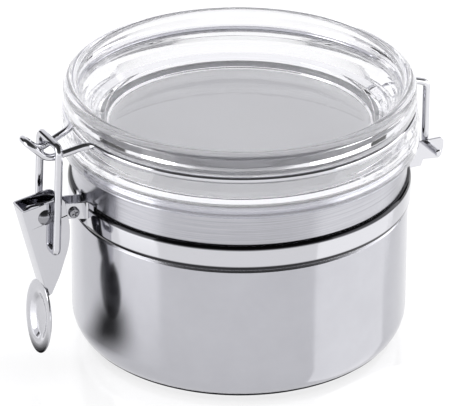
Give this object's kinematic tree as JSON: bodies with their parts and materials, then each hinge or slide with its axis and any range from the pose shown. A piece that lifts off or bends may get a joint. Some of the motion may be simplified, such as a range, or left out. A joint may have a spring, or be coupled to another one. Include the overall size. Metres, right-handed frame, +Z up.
{
  "type": "food canister",
  "caption": "Round stainless steel food canister with a clear hinged lid, held down by a wire bail and an over-centre clamp latch.",
  "frame": {"origin": "middle of the can's flat base, on the surface it stands on", "axes": "+Z up along the can's axis; the hinge is at +X, the clamp latch at -X"},
  "size_m": [0.1629, 0.1272, 0.0993],
  "materials": {
    "brushed_can": "satin, finely brushed round the neck",
    "bright_steel": "polished",
    "clear_acrylic": "clear, polished",
    "silicone": "soft, translucent white"
  },
  "bodies": {
    "canister": {"can_body": "brushed_can", "neck_band": "bright_steel", "clamp_screw": "bright_steel", "clamp_nut": "bright_steel", "hinge_bracket": "bright_steel", "lever_rivet": "bright_steel"},
    "lid": {"lid": "clear_acrylic", "lid_gasket": "silicone", "bail_wire": "bright_steel"},
    "lever": {"latch_lever": "bright_steel"},
    "link": {"link_wire": "bright_steel"}
  },
  "joints": [
    {"name": "lid_hinge", "type": "hinge", "parent": "canister", "child": "lid", "pos_m": [0.0706, 0, 0.0625], "axis": [0, 1, 0], "range_deg": [0, 180]},
    {"name": "lever_pivot", "type": "hinge", "parent": "canister", "child": "lever", "pos_m": [-0.0773, 0, 0.0633], "axis": [0, 1, 0], "range_deg": [0, 130]},
    {"name": "link_pivot", "type": "hinge", "parent": "lever", "child": "link", "pos_m": [-0.0749, 0, 0.0503], "axis": [0, 1, 0], "range_deg": [-107, 0]}
  ],
  "couplings": [
    {"joint": "link_pivot", "follows": "lever_pivot", "ratio": -0.82}
  ]
}
